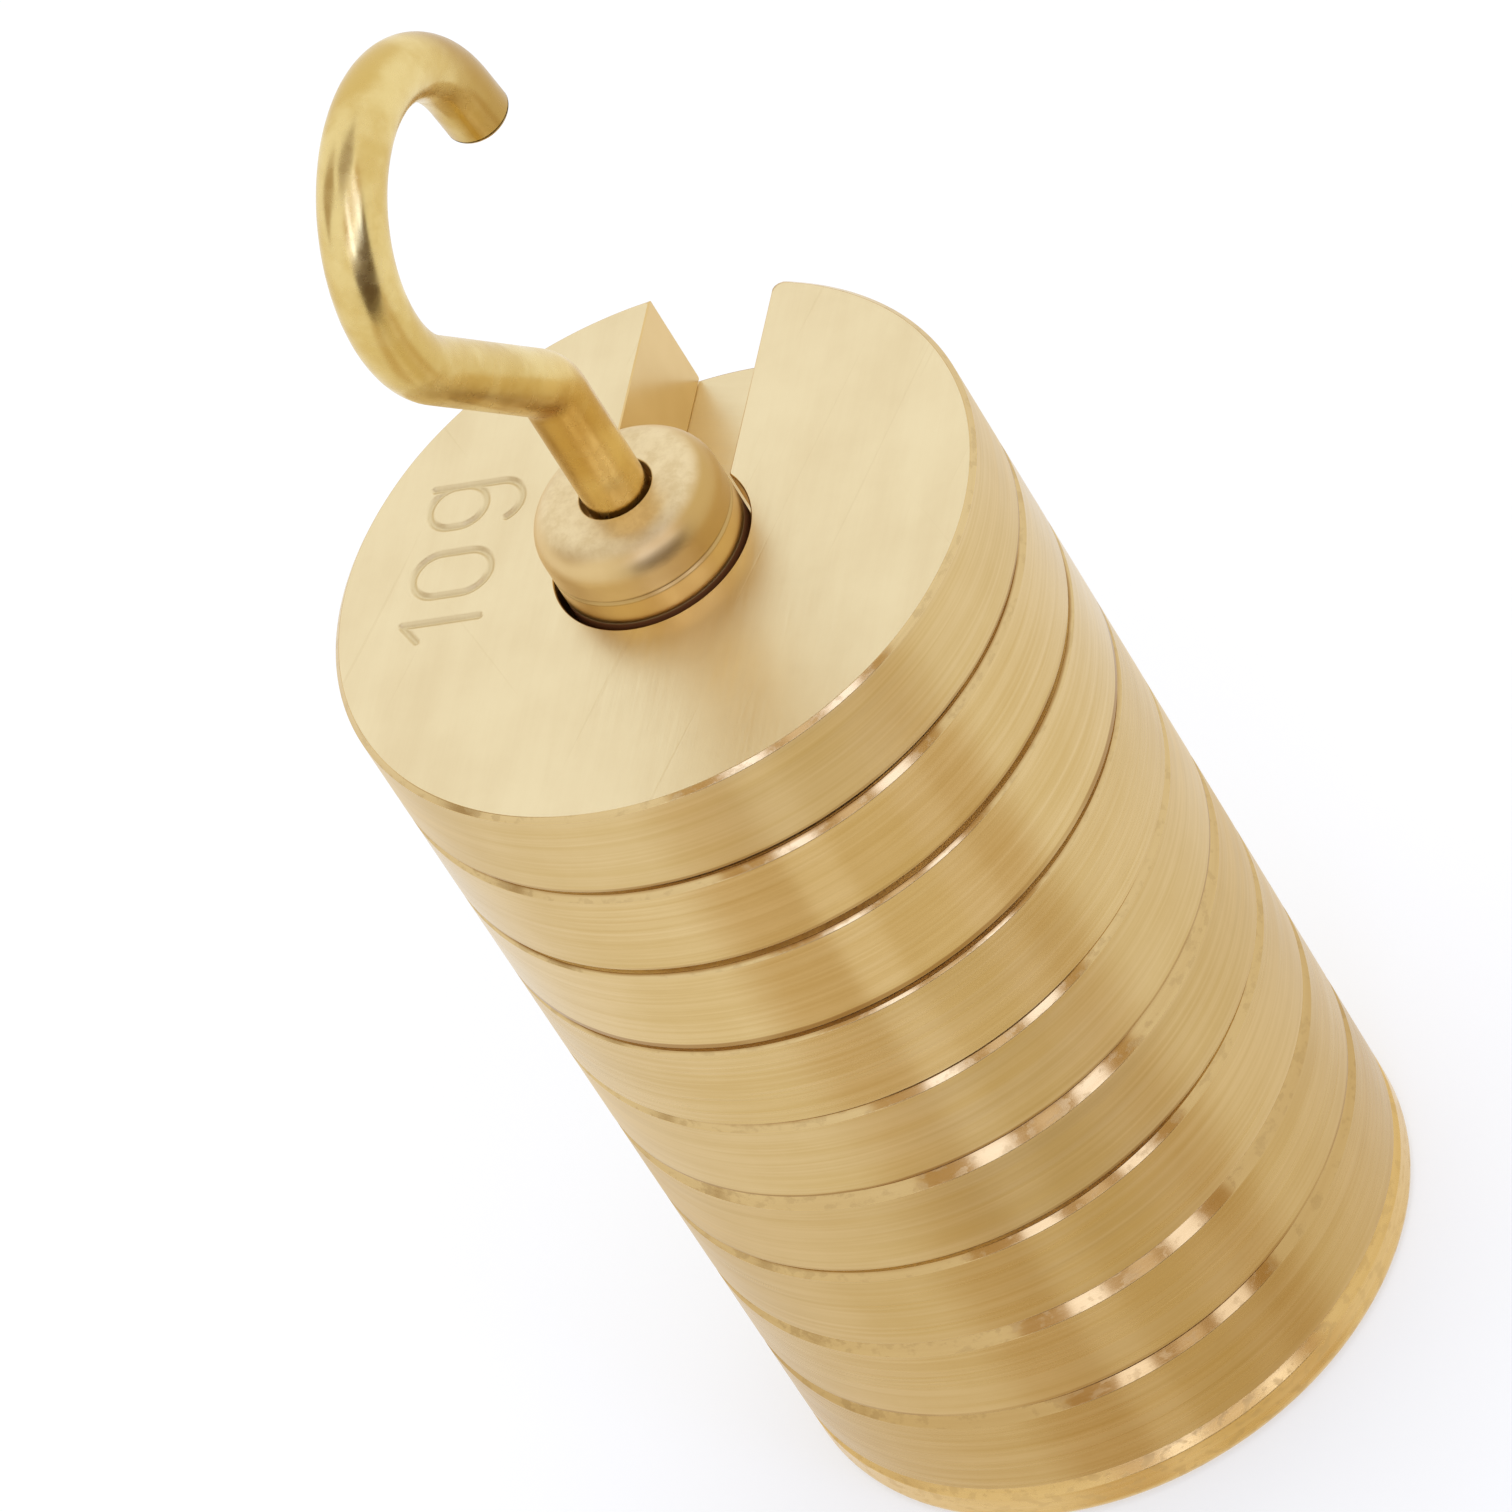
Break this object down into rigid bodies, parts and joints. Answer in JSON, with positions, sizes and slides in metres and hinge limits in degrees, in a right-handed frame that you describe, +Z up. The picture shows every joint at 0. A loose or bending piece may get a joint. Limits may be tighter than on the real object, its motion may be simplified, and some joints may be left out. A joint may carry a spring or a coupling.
{
  "type": "slotted weight set",
  "caption": "Stack of round brass weights, slotted so that they slip over a hook's neck and drop onto the stem of a hanger with a flat round base.",
  "frame": {"origin": "centre of the base plate's flat underside, on the stem's axis", "axes": "+Z up along the stem, +X along the top weight's slot from the stem outwards"},
  "size_m": [0.0218, 0.0218, 0.0587],
  "materials": {
    "weight_brass": "fine turned and brushed, unlacquered",
    "hanger_brass": "turned satin",
    "wire_brass": "drawn wire, smooth and slightly polished"
  },
  "bodies": {
    "hanger": {"base_plate": "hanger_brass", "stem_tube": "hanger_brass", "stem_head": "hanger_brass", "hook": "wire_brass"},
    "weight_1": {"weight_1": "weight_brass"},
    "weight_2": {"weight_2": "weight_brass"},
    "weight_3": {"weight_3": "weight_brass"},
    "weight_4": {"weight_4": "weight_brass"},
    "weight_5": {"weight_5": "weight_brass"},
    "weight_6": {"weight_6": "weight_brass"},
    "weight_7": {"weight_7": "weight_brass"},
    "weight_8": {"weight_8": "weight_brass"},
    "weight_9": {"weight_9": "weight_brass"}
  },
  "joints": [
    {"name": "weight_1_turn", "type": "hinge", "parent": "hanger", "child": "weight_1", "pos_m": [0, 0, 0.00355], "axis": [0, 0, 1], "continuous": true},
    {"name": "weight_2_turn", "type": "hinge", "parent": "hanger", "child": "weight_2", "pos_m": [0, 0, 0.00745], "axis": [0, 0, 1], "continuous": true},
    {"name": "weight_3_turn", "type": "hinge", "parent": "hanger", "child": "weight_3", "pos_m": [0, 0, 0.01135], "axis": [0, 0, 1], "continuous": true},
    {"name": "weight_4_turn", "type": "hinge", "parent": "hanger", "child": "weight_4", "pos_m": [0, 0, 0.01525], "axis": [0, 0, 1], "continuous": true},
    {"name": "weight_5_turn", "type": "hinge", "parent": "hanger", "child": "weight_5", "pos_m": [0, 0, 0.01915], "axis": [0, 0, 1], "continuous": true},
    {"name": "weight_6_turn", "type": "hinge", "parent": "hanger", "child": "weight_6", "pos_m": [0, 0, 0.02305], "axis": [0, 0, 1], "continuous": true},
    {"name": "weight_7_turn", "type": "hinge", "parent": "hanger", "child": "weight_7", "pos_m": [0, 0, 0.02695], "axis": [0, 0, 1], "continuous": true},
    {"name": "weight_8_turn", "type": "hinge", "parent": "hanger", "child": "weight_8", "pos_m": [0, 0, 0.03085], "axis": [0, 0, 1], "continuous": true},
    {"name": "weight_9_lift", "type": "slide", "parent": "weight_8", "child": "weight_9", "axis": [0, 0, 1], "range_m": [0, 0.007]}
  ]
}
